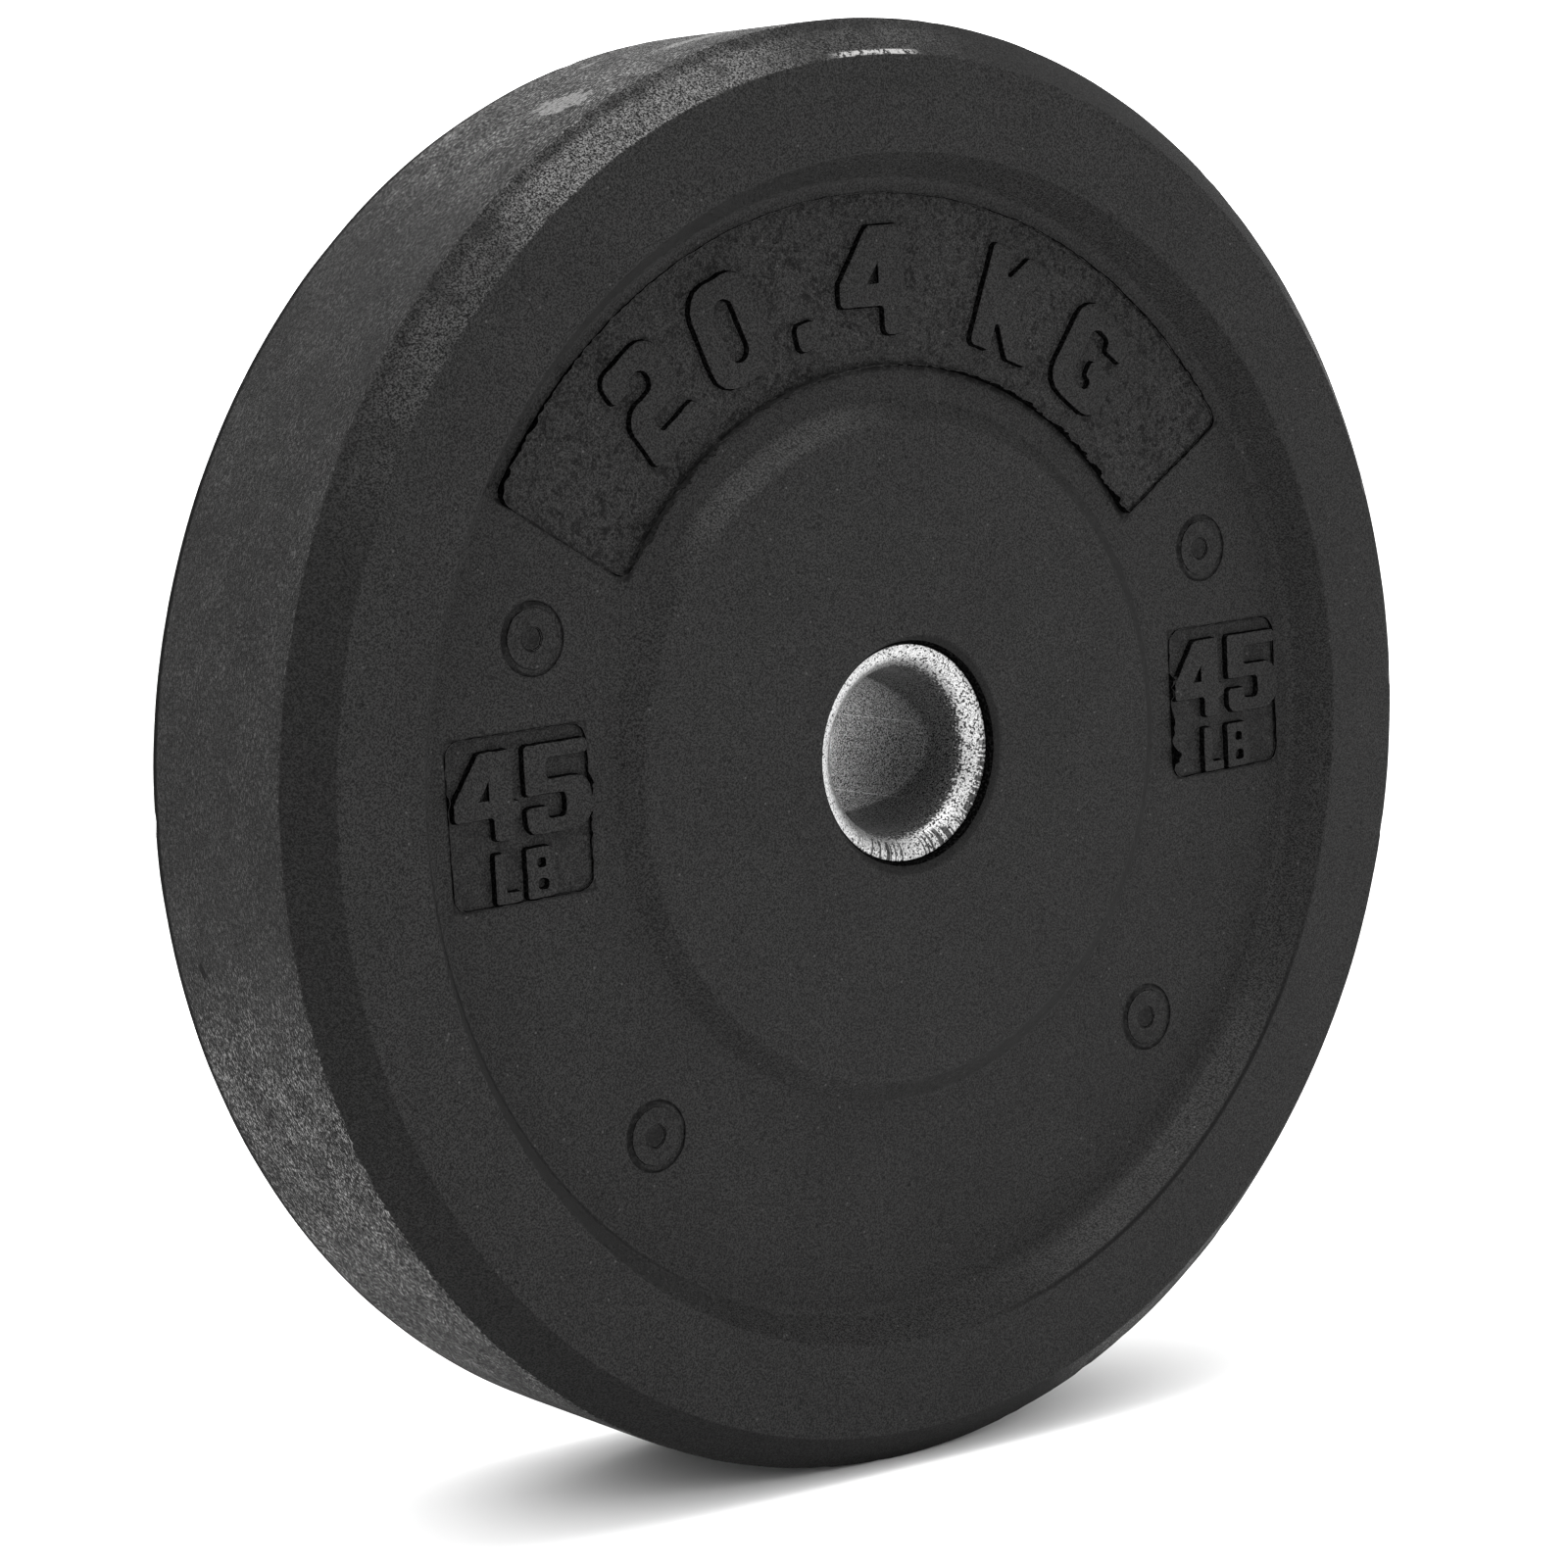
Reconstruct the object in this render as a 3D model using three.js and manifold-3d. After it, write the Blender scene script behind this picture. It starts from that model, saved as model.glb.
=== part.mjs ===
// A crumb-rubber bumper plate for a barbell, standing on its rim.
// Millimetres. X runs across the plate, Y along its axis, Z up; the front face looks toward -Y.
// The origin is the centre of the plate, halfway along its bore.

import * as THREE from 'three';
import { mergeVertices } from 'three/addons/utils/BufferGeometryUtils.js';
import Module from 'manifold-3d';

// Driving sizes of the whole plate
const PLATE_RADIUS = 225;
const RIM_HALF = 46;
const BORE_RADIUS = 25.4;
const GAP = 0.3;

// Section of one face, from the tread inwards; depths are measured from the rim's face
const BEVEL_AXIAL = 11.5;
const BEVEL_RADIAL = 11.8;
const RIM_INNER_RADIUS = 184.4;
const RECESS_FOOT_RADIUS = 176.5;
const WEB_DEPTH = 12.6;
const BOSS_FOOT_RADIUS = 110;
const BOSS_TOP_RADIUS = 103;
const BOSS_DEPTH = 7.2;
const MOUTH_ROUND = 1.2;

// Moulded marks in the web of each face; the plate stands rolled a few degrees about its axis
const FACE_TURN = THREE.MathUtils.degToRad(4);
const POCKET_DEPTH = 0.8;
const ARC_INNER_RADIUS = 120;
const ARC_OUTER_RADIUS = 172.5;
const ARC_HALF_ANGLE = THREE.MathUtils.degToRad(57.8);
const ARC_CORNER = 4;
const SIDE_PANEL_SIZE = 49.5;
const SIDE_PANEL_CORNER = 5;
const SIDE_PANEL_RADIUS = 144;
const STUD_MARK_RADIUS = 145;
const STUD_MARK_ANGLES = [20.5, 159.5, 225, 315].map(THREE.MathUtils.degToRad);
const STUD_MARK_OUTER = 11;
const STUD_MARK_GROOVE = 2;
const STUD_MARK_DOT = 3.6;
const STUD_MARK_DEPTH = 1;

// Steel centre: a thick sleeve with rounded mouths, an anchor disc round its middle, two weld fillets
const SLEEVE_RADIUS = 34;
const SLEEVE_HALF = 36.2;
const SLEEVE_END_LAND = 0.8;
const SLEEVE_MOUTH_LENGTH = 11.5;
const ANCHOR_RADIUS = 65;
const ANCHOR_HALF = 2.5;
const ANCHOR_HOLE_COUNT = 8;
const ANCHOR_HOLE_RADIUS = 8;
const ANCHOR_HOLE_CIRCLE = 52;
const WELD_LEG = 5;

// Facets round each turned piece; one facet of the tread lies flat on the ground
const BODY_FACETS = 64;
const STEEL_FACETS = 64;
const HOLE_FACETS = 16;
const RING_FACETS = 20;
const MOUTH_STEPS = 5;
const ARC_STEPS = 9;
const CORNER_STEPS = 2;

const WEB_HALF = RIM_HALF - WEB_DEPTH;
const BOSS_HALF = RIM_HALF - BOSS_DEPTH;
const TREAD_HALF = RIM_HALF - BEVEL_AXIAL;
const HOLE_RADIUS = SLEEVE_RADIUS + GAP;

const wasm = await Module();
wasm.setup();

// A ring or disc turned about Y from a closed outline of [radius, y] points, counter-clockwise
function turned(outline, facets) {
  const points = [...outline, outline[0]].map(([radius, y]) => new THREE.Vector2(radius, y));
  return new THREE.LatheGeometry(points, facets, Math.PI / facets);
}

function toSolid(geometry) {
  const bare = geometry.clone();
  bare.deleteAttribute('normal');
  bare.deleteAttribute('uv');
  const merged = mergeVertices(bare, 1e-4);
  return new wasm.Manifold(new wasm.Mesh({
    numProp: 3,
    vertProperties: new Float32Array(merged.attributes.position.array),
    triVerts: new Uint32Array(merged.index.array),
  }));
}

function toGeometry(solid) {
  const mesh = solid.getMesh();
  const geometry = new THREE.BufferGeometry();
  geometry.setAttribute('position', new THREE.BufferAttribute(mesh.vertProperties, 3));
  geometry.setIndex(new THREE.BufferAttribute(mesh.triVerts, 1));
  geometry.computeVertexNormals();
  return geometry;
}

// A flat outline drawn as the front face is seen, made into a solid that reaches from
// the depth y = -from out to y = -to
function frontPrism(shape, from, to, curveSegments) {
  const geometry = new THREE.ExtrudeGeometry(shape, {
    depth: to - from,
    bevelEnabled: false,
    curveSegments,
  });
  geometry.rotateX(Math.PI / 2);
  geometry.translate(0, -from, 0);
  return geometry;
}

function polar(radius, angle) {
  return [radius * Math.cos(angle), radius * Math.sin(angle)];
}

// The long curved panel over the boss: a sector of a ring with rounded corners
function arcPanelShape() {
  const middle = Math.PI / 2;
  const outerTurn = ARC_CORNER / (ARC_OUTER_RADIUS - ARC_CORNER);
  const innerTurn = ARC_CORNER / (ARC_INNER_RADIUS + ARC_CORNER);
  const low = middle - ARC_HALF_ANGLE;
  const high = middle + ARC_HALF_ANGLE;
  const shape = new THREE.Shape();
  shape.moveTo(...polar(ARC_OUTER_RADIUS, low + outerTurn));
  shape.absarc(0, 0, ARC_OUTER_RADIUS, low + outerTurn, high - outerTurn, false);
  shape.quadraticCurveTo(
    ...polar(ARC_OUTER_RADIUS, high),
    ...polar(ARC_OUTER_RADIUS - ARC_CORNER, high),
  );
  shape.lineTo(...polar(ARC_INNER_RADIUS + ARC_CORNER, high));
  shape.quadraticCurveTo(
    ...polar(ARC_INNER_RADIUS, high),
    ...polar(ARC_INNER_RADIUS, high - innerTurn),
  );
  shape.absarc(0, 0, ARC_INNER_RADIUS, high - innerTurn, low + innerTurn, true);
  shape.quadraticCurveTo(
    ...polar(ARC_INNER_RADIUS, low),
    ...polar(ARC_INNER_RADIUS + ARC_CORNER, low),
  );
  shape.lineTo(...polar(ARC_OUTER_RADIUS - ARC_CORNER, low));
  shape.quadraticCurveTo(
    ...polar(ARC_OUTER_RADIUS, low),
    ...polar(ARC_OUTER_RADIUS, low + outerTurn),
  );
  return shape;
}

// A square panel with rounded corners, beside the boss; side is -1 on the left and 1 on the right
function sidePanelShape(side) {
  const half = SIDE_PANEL_SIZE / 2;
  const x = side * SIDE_PANEL_RADIUS;
  const flat = half - SIDE_PANEL_CORNER;
  const shape = new THREE.Shape();
  shape.absarc(x + flat, flat, SIDE_PANEL_CORNER, 0, Math.PI / 2, false);
  shape.absarc(x - flat, flat, SIDE_PANEL_CORNER, Math.PI / 2, Math.PI, false);
  shape.absarc(x - flat, -flat, SIDE_PANEL_CORNER, Math.PI, 1.5 * Math.PI, false);
  shape.absarc(x + flat, -flat, SIDE_PANEL_CORNER, 1.5 * Math.PI, 2 * Math.PI, false);
  return shape;
}

// The print of a mould stud: a ring groove, with a dimple at its centre
function studMarkShapes(angle) {
  const [x, z] = polar(STUD_MARK_RADIUS, angle);
  const ring = new THREE.Shape();
  ring.absarc(x, z, STUD_MARK_OUTER, 0, 2 * Math.PI, false);
  const island = new THREE.Path();
  island.absarc(x, z, STUD_MARK_OUTER - STUD_MARK_GROOVE, 0, 2 * Math.PI, true);
  ring.holes.push(island);
  const dot = new THREE.Shape();
  dot.absarc(x, z, STUD_MARK_DOT, 0, 2 * Math.PI, false);
  return [ring, dot];
}

// Everything that the mould leaves sunk in the web of one face, as cutters over the front face
function webCutters() {
  const floor = WEB_HALF - POCKET_DEPTH;
  const markFloor = WEB_HALF - STUD_MARK_DEPTH;
  const over = WEB_HALF + GAP;
  const cutters = [frontPrism(arcPanelShape(), floor, over, ARC_STEPS)];
  for (const side of [-1, 1]) {
    cutters.push(frontPrism(sidePanelShape(side), floor, over, CORNER_STEPS));
  }
  for (const angle of STUD_MARK_ANGLES) {
    for (const shape of studMarkShapes(angle)) {
      cutters.push(frontPrism(shape, markFloor, over, RING_FACETS / 2));
    }
  }
  return cutters;
}

// Half the thickness of the body at each radius, from the bore to the tread
function faceOutline() {
  return [
    [HOLE_RADIUS, BOSS_HALF - MOUTH_ROUND],
    [HOLE_RADIUS + MOUTH_ROUND, BOSS_HALF],
    [BOSS_TOP_RADIUS, BOSS_HALF],
    [BOSS_FOOT_RADIUS, WEB_HALF],
    [RECESS_FOOT_RADIUS, WEB_HALF],
    [RIM_INNER_RADIUS, RIM_HALF],
    [PLATE_RADIUS - BEVEL_RADIAL, RIM_HALF],
    [PLATE_RADIUS, TREAD_HALF],
  ];
}

// The space that the rubber leaves for the anchor disc and its weld fillets, open to the bore
function cavityOutline() {
  const side = ANCHOR_HALF + GAP;
  const fillet = WELD_LEG + 2 * GAP;
  return [
    [HOLE_RADIUS, side + fillet],
    [HOLE_RADIUS + fillet, side],
    [ANCHOR_RADIUS + GAP, side],
  ];
}

function holePlugs(radius, half) {
  return Array.from({ length: ANCHOR_HOLE_COUNT }, (_, i) => {
    const plug = new THREE.CylinderGeometry(radius, radius, 2 * half, HOLE_FACETS);
    const [x, z] = polar(ANCHOR_HOLE_CIRCLE, (2 * Math.PI * i) / ANCHOR_HOLE_COUNT);
    plug.translate(x, 0, z);
    return plug;
  });
}

// The moulded rubber: faces, bevels and tread, the captive space for the anchor disc, and
// the plugs of rubber that have flowed through the disc's holes
function rubberBody() {
  const face = faceOutline();
  const cavity = cavityOutline();
  const mirror = (points) => points.map(([radius, y]) => [radius, -y]).reverse();
  const outline = [
    ...face.map(([radius, y]) => [radius, -y]),
    ...[...face].reverse(),
    ...cavity,
    ...mirror(cavity),
  ];
  let solid = toSolid(turned(outline, BODY_FACETS));
  for (const plug of holePlugs(ANCHOR_HOLE_RADIUS - GAP, ANCHOR_HALF + 1)) {
    solid = solid.add(toSolid(plug));
  }
  for (const halfTurn of [0, Math.PI]) {
    for (const cutter of webCutters()) {
      cutter.rotateZ(halfTurn);
      cutter.rotateY(-FACE_TURN);
      solid = solid.subtract(toSolid(cutter));
    }
  }
  return toGeometry(solid);
}

// The steel sleeve that the bar runs in; each end rounds over into the bore
function centreSleeve() {
  const reach = SLEEVE_RADIUS - SLEEVE_END_LAND - BORE_RADIUS;
  const mouth = Array.from({ length: MOUTH_STEPS + 1 }, (_, i) => {
    const turn = (Math.PI / 2) * (i / MOUTH_STEPS);
    return [
      BORE_RADIUS + reach * (1 - Math.sin(turn)),
      SLEEVE_HALF - SLEEVE_MOUTH_LENGTH * (1 - Math.cos(turn)),
    ];
  });
  const outline = [
    [SLEEVE_RADIUS, -SLEEVE_HALF],
    [SLEEVE_RADIUS, SLEEVE_HALF],
    ...mouth,
    ...mouth.map(([radius, y]) => [radius, -y]).reverse(),
  ];
  return turned(outline, STEEL_FACETS);
}

// The disc inside the rubber that keeps the sleeve from being pushed out
function anchorDisc() {
  const outline = [
    [HOLE_RADIUS, -ANCHOR_HALF],
    [ANCHOR_RADIUS, -ANCHOR_HALF],
    [ANCHOR_RADIUS, ANCHOR_HALF],
    [HOLE_RADIUS, ANCHOR_HALF],
  ];
  let solid = toSolid(turned(outline, STEEL_FACETS));
  for (const plug of holePlugs(ANCHOR_HOLE_RADIUS, ANCHOR_HALF + 1)) {
    solid = solid.subtract(toSolid(plug));
  }
  return toGeometry(solid);
}

// A fillet of weld metal in the corner between the sleeve and one side of the disc
function weldFillet(side) {
  const foot = ANCHOR_HALF + GAP;
  const outline = [
    [HOLE_RADIUS, side * foot],
    [HOLE_RADIUS + WELD_LEG, side * foot],
    [HOLE_RADIUS, side * (foot + WELD_LEG)],
  ];
  return turned(side > 0 ? outline : outline.reverse(), STEEL_FACETS);
}

const crumbRubber = { color: 0x34322f, roughness: 0.9, metalness: 0 };
const turnedSteel = { color: 0xc9cacb, roughness: 0.35, metalness: 1 };
const rolledSteel = { color: 0x8d8f92, roughness: 0.55, metalness: 1 };
const weldMetal = { color: 0x6f6a66, roughness: 0.65, metalness: 1 };

function piece(name, geometry, look) {
  const mesh = new THREE.Mesh(geometry, new THREE.MeshStandardMaterial(look));
  mesh.name = name;
  return mesh;
}

const steelCentre = new THREE.Group();
steelCentre.add(
  piece('centre_sleeve', centreSleeve(), turnedSteel),
  piece('anchor_disc', anchorDisc(), rolledSteel),
  piece('weld_fillet_front', weldFillet(-1), weldMetal),
  piece('weld_fillet_back', weldFillet(1), weldMetal),
);

const plate = new THREE.Group();
plate.add(piece('rubber_body', rubberBody(), crumbRubber), steelCentre);

export default plate;
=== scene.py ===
"""A crumb-rubber bumper plate that stands on its rim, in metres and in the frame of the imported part."""

import math
from functools import partial, reduce

import bmesh
import bpy
from mathutils import Matrix, Vector, noise
from mathutils.geometry import tessellate_polygon


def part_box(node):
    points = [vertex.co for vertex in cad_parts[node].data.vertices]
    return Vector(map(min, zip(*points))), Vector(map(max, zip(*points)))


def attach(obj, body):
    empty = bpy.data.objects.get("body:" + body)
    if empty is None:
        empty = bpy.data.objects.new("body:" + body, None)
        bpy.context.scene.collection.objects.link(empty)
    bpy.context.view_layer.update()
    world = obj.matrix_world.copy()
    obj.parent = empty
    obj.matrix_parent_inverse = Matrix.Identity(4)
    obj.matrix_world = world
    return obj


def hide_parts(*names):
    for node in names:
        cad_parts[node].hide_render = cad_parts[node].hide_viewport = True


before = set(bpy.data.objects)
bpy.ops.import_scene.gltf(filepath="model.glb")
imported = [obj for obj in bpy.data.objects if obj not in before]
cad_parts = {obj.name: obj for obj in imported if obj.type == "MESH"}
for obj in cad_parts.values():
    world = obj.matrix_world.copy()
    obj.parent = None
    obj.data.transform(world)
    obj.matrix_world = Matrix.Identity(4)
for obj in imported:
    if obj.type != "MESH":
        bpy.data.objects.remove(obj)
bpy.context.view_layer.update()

BODY = "root"
MM = 0.001

# Driving sizes, in millimetres, taken from the frame where it holds them
RIM_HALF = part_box("rubber_body")[1].y / MM
SLEEVE_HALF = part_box("centre_sleeve")[1].y / MM
PLATE_RADIUS = 225
SLEEVE_RADIUS = 34
BORE_RADIUS = 25.4
GAP = 0.3

# Section of one face of the rubber
BEVEL_AXIAL = 11.5
BEVEL_RADIAL = 11.8
RIM_INNER_RADIUS = 184.4
RECESS_FOOT_RADIUS = 176.5
WEB_HALF = RIM_HALF - 12.6
BOSS_FOOT_RADIUS = 110
BOSS_TOP_RADIUS = 103
BOSS_HALF = RIM_HALF - 7.2
TREAD_HALF = RIM_HALF - BEVEL_AXIAL
BEVEL_RADIUS = PLATE_RADIUS - BEVEL_RADIAL
HOLE_RADIUS = SLEEVE_RADIUS + GAP

# Moulded marks in the web of each face
FACE_TURN = math.radians(4)
POCKET_DEPTH = 0.8
POCKET_FLOOR = WEB_HALF - POCKET_DEPTH
ARC_INNER_RADIUS = 120
ARC_OUTER_RADIUS = 172.5
ARC_HALF_ANGLE = math.radians(57.8)
ARC_CORNER = 4
SIDE_PANEL_SIZE = 49.5
SIDE_PANEL_CORNER = 5
SIDE_PANEL_RADIUS = 144
STUD_RADIUS = 145
STUD_ANGLES = [math.radians(a) for a in (20.5, 159.5, 225, 315)]
STUD_OUTER = 11
STUD_GROOVE = 2.2
STUD_DOT = 3.6
STUD_DEPTH = 0.7

# How far edges run uneven: of the sunk marks, of the long panel's figures and of the other figures
CRUMBLE = 0.3
ARC_FIGURE_CRUMBLE = 0.25
PANEL_FIGURE_CRUMBLE = 0.2

# Raised figures
FIGURE_TOP = POCKET_FLOOR + 2.2
ARC_FIGURES = "20.4 KG"
ARC_FIGURE_HEIGHT = 34
ARC_FIGURE_FOOT = 129
ARC_FIGURE_SPACE = 11
PANEL_FIGURE_SPACE = 1.5
# The lines of a square panel: figures, height, foot above the panel's middle, and shift to the right
PANEL_LINES = [("45", 26.7, -6, 0.7), ("LB", 15.4, -24.4, 0)]

# Flash: the thin torn fins of rubber that ran into the gaps round the mould's plates. A tear is a taller
# stretch of fin: x and y on the panel, half length and height.
FLASH_WIDTH = 0.42
FLASH_HEIGHT = 0.35
FLASH_STEP = 1
ARC_FLASH_INNER = 2.5
ARC_FLASH_OUTER_LEFT = 2.6
SIDE_PANEL_TEARS = {
    -1: [(24.7, 6.5, 4.2, 2.2), (24.7, -3, 1.6, 1.6), (24.7, -8.6, 1.4, 1), (-24.7, 7.5, 1.8, 1.5),
         (2, -24.7, 10, 0.6)],
    1: [(-24.7, 6, 4.5, 2.6), (-24.7, -6, 6, 1.4), (-24.7, -17, 3.6, 3),
        (-22, 24.7, 4, 1), (4, 24.7, 9, 0.5), (2, -24.7, 9, 0.5)],
}

# The space for the anchor disc inside the rubber
ANCHOR_RADIUS = 65
ANCHOR_HALF = 2.5
ANCHOR_HOLE_COUNT = 8
ANCHOR_HOLE_RADIUS = 8
ANCHOR_HOLE_CIRCLE = 52
WELD_LEG = 5

# Wear of the rubber's edges, and chatter that the lathe left on the steel's ends
EDGE_WEAR_REACH = 2.6
EDGE_WAVE = 0.3
EDGE_NICK = 0.8
CHATTER_DEPTH = 0.14
CHATTER_WIDTH = 3.2

# How finely things are drawn
BODY_STEPS = 360
SLEEVE_STEPS = 600
OUTLINE_STEP = 2.4
CORNER_STEPS = 4
CIRCLE_STEPS = 30
ROUND_STEPS = 2
SHARP_ANGLE = math.radians(40)


# Flat outlines

def round_turn(steps):
    """The angles of equal steps round a circle."""
    return [2 * math.pi * k / steps for k in range(steps)]


class Outline:
    """A closed outline of (x, y, radius) corners, drawn grown and then placed."""

    def __init__(self, corners, step=OUTLINE_STEP, place=Vector.copy):
        self.corners = corners
        self.place = place
        arcs = self.arcs(0)
        gaps = [(arcs[(i + 1) % len(arcs)][0] - arc[-1]).length for i, arc in enumerate(arcs)]
        self.counts = [max(0, round(gap / step) - 1) for gap in gaps]

    def arcs(self, grow):
        """The rounded corners, each as a list of points."""
        n = len(self.corners)
        arcs = []
        for i, (x, y, radius) in enumerate(self.corners):
            here = Vector((x, y))
            a = (here - Vector(self.corners[i - 1][:2])).normalized()
            b = (Vector(self.corners[(i + 1) % n][:2]) - here).normalized()
            turn = math.atan2(a.x * b.y - a.y * b.x, a.dot(b))
            out_a, out_b = Vector((a.y, -a.x)), Vector((b.y, -b.x))
            corner = here + (out_a + out_b) * (grow / (1 + out_a.dot(out_b)))
            side = math.copysign(1, turn)
            size = max(radius + side * grow, 0.04)
            start = corner - a * (size * math.tan(abs(turn) / 2))
            centre = start - out_a * (side * size)
            spoke = start - centre
            turns = [turn * k / CORNER_STEPS for k in range(CORNER_STEPS + 1)]
            arcs.append([centre + Matrix.Rotation(t, 2) @ spoke for t in turns])
        return arcs

    def at(self, grow):
        arcs = self.arcs(grow)
        points = []
        for i, arc in enumerate(arcs):
            start, end = arc[-1], arcs[(i + 1) % len(arcs)][0]
            points += arc
            points += [start.lerp(end, (k + 1) / (self.counts[i] + 1)) for k in range(self.counts[i])]
        return [self.place(point) for point in points]


class ArcOutline:
    """The long curved panel: the top sector of a ring, with rounded corners."""

    def __init__(self, step=OUTLINE_STEP):
        self.step = step

    def at(self, grow):
        inner, outer = ARC_INNER_RADIUS - grow, ARC_OUTER_RADIUS + grow
        corner = ARC_CORNER + grow
        arc_count = round(2 * ARC_HALF_ANGLE * ARC_OUTER_RADIUS / self.step)
        side_count = round((ARC_OUTER_RADIUS - ARC_INNER_RADIUS) / self.step)

        def place(radius, angle):
            return Vector((radius * math.sin(angle), radius * math.cos(angle)))

        def end(radius):
            return ARC_HALF_ANGLE + grow / radius

        def rounded(radius, side, start):
            middle = end(radius) - corner / radius
            turns = [start + math.pi / 2 * k / CORNER_STEPS for k in range(CORNER_STEPS + 1)]
            return [
                place(radius + corner * math.cos(t), side * (middle + corner / radius * abs(math.sin(t))))
                for t in turns
            ]

        def straight(start, stop, side):
            radii = [start + (stop - start) * k / side_count for k in range(1, side_count)]
            return [place(radius, side * end(radius)) for radius in radii]

        def sweep(radius, corner_radius, side):
            reach = side * (end(radius) - corner / corner_radius)
            return [place(radius, reach * (1 - 2 * k / arc_count)) for k in range(1, arc_count)]

        high, low = outer - corner, inner + corner
        return [
            *sweep(outer, high, 1), *rounded(high, -1, 0),
            *straight(high, low, -1), *rounded(low, -1, math.pi / 2),
            *sweep(inner, low, -1), *reversed(rounded(low, 1, math.pi / 2)),
            *straight(low, high, 1), *reversed(rounded(high, 1, 0)),
        ]


class Round:
    """A circle about (x, y)."""

    def __init__(self, x, y, radius):
        self.centre = Vector((x, y))
        self.radius = radius

    def at(self, grow):
        size = self.radius + grow
        return [self.centre + size * Vector((math.cos(t), math.sin(t))) for t in round_turn(CIRCLE_STEPS)]


# Plain block figures on a body 100 high: (width, outer corners, holes), corners as (x, y, radius)
FIGURES = {
    "0": (74, [(0, 0, 26), (74, 0, 26), (74, 100, 26), (0, 100, 26)],
          [[(27, 22, 9), (27, 78, 9), (47, 78, 9), (47, 22, 9)]]),
    "2": (72, [(0, 0, 7), (72, 0, 7), (72, 22, 7), (27, 22, 3), (27, 36, 3), (72, 36, 20), (72, 100, 24),
               (0, 100, 14), (0, 70, 7), (27, 70, 4), (27, 78, 2), (45, 78, 8), (45, 58, 8),
               (0, 58, 20)], []),
    "4": (88, [(51, 0, 7), (79, 0, 7), (79, 24, 3), (88, 24, 5), (88, 43, 5), (79, 43, 3), (79, 100, 7),
               (36, 100, 9), (0, 48, 6), (0, 26, 6), (51, 26, 3)],
          [[(28, 44, 1), (50, 44, 1), (50, 76, 1)]]),
    "5": (90, [(0, 0, 14), (90, 0, 26), (90, 61, 22), (31, 61, 3), (31, 82, 6), (87, 82, 7), (87, 100, 7),
               (0, 100, 7), (0, 43, 5), (53, 43, 5), (53, 18, 5), (30, 18, 4), (30, 32, 4),
               (0, 32, 6)], []),
    "K": (82, [(0, 0, 7), (27, 0, 7), (27, 30, 1.5), (48, 0, 7), (82, 0, 6), (44, 52, 3), (80, 100, 6),
               (47, 100, 7), (27, 72, 1.5), (27, 100, 7), (0, 100, 7)], []),
    "G": (76, [(0, 0, 24), (76, 0, 22), (76, 52, 6), (40, 52, 6), (40, 32, 5), (49, 32, 3), (49, 22, 6),
               (27, 22, 9), (27, 78, 9), (49, 78, 6), (49, 66, 5), (76, 66, 6), (76, 100, 22),
               (0, 100, 24)], []),
    "L": (62, [(0, 0, 7), (62, 0, 7), (62, 24, 7), (27, 24, 4), (27, 100, 7), (0, 100, 7)], []),
    "B": (72, [(0, 0, 7), (72, 0, 20), (72, 48, 9), (63, 53, 1), (69, 58, 6), (69, 100, 18), (0, 100, 7)],
          [[(28, 19, 5), (28, 36, 5), (48, 36, 5), (48, 19, 5)],
           [(28, 61, 5), (28, 76, 5), (44, 76, 5), (44, 61, 5)]]),
    ".": (27, [(0, 0, 8), (27, 0, 8), (27, 27, 8), (0, 27, 8)], []),
    " ": (20, [], []),
}


# Mesh building

def on_face(point, half, back):
    """A point of a face's drawing, at a half thickness, on the standing plate."""
    x, y, z = point[0], -half, point[1]
    if back:
        x, y = -x, -y
    cos, sin = math.cos(FACE_TURN), math.sin(FACE_TURN)
    return Vector((x * cos - z * sin, y, x * sin + z * cos)) * MM


def crumbled(point, amount):
    """The point moved a little, as the edge of moulded crumb runs uneven."""
    grain = 2.1
    spot = Vector((point.x / grain, point.y / grain, 0))
    x = noise.noise(spot) + 0.5 * noise.noise(spot * 2.3)
    y = noise.noise(spot + Vector((31.7, 0, 9.1))) + 0.5 * noise.noise(spot * 2.3 + Vector((5.2, 8.8, 0)))
    return point + amount * Vector((x, y))


def wall(bm, a, b):
    """The faces between two rings of vertices."""
    for k in range(len(a)):
        after = (k + 1) % len(a)
        bm.faces.new((a[k], a[after], b[after], b[k]))


def close_rings(bm, rings):
    for ring, after in zip(rings, rings[1:] + rings[:1]):
        wall(bm, ring, after)


def loft(bm, outlines, section, back, amount):
    """A solid over a face, drawn at each (grow, half thickness). Outlines after the first are holes."""
    rings = []
    for grow, half in section:
        rings.append([
            [bm.verts.new(on_face(crumbled(p, amount), half, back)) for p in outline.at(grow)]
            for outline in outlines
        ])
    for low, high in zip(rings, rings[1:]):
        for a, b in zip(low, high):
            wall(bm, a, b)
    for ring in (rings[0], rings[-1]):
        flat = [v for loop in ring for v in loop]
        for triangle in tessellate_polygon([[v.co for v in loop] for loop in ring]):
            bm.faces.new([flat[i] for i in triangle])


def quarter(grow_from, grow_to, half_from, half_to, bulge_first):
    """Points of a quarter round between two (grow, half) pairs, without the first."""
    points = []
    for k in range(1, ROUND_STEPS + 1):
        t = math.pi / 2 * k / ROUND_STEPS
        a, b = (1 - math.cos(t), math.sin(t)) if bulge_first else (math.sin(t), 1 - math.cos(t))
        points.append((grow_from + (grow_to - grow_from) * a, half_from + (half_to - half_from) * b))
    return points


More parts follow.
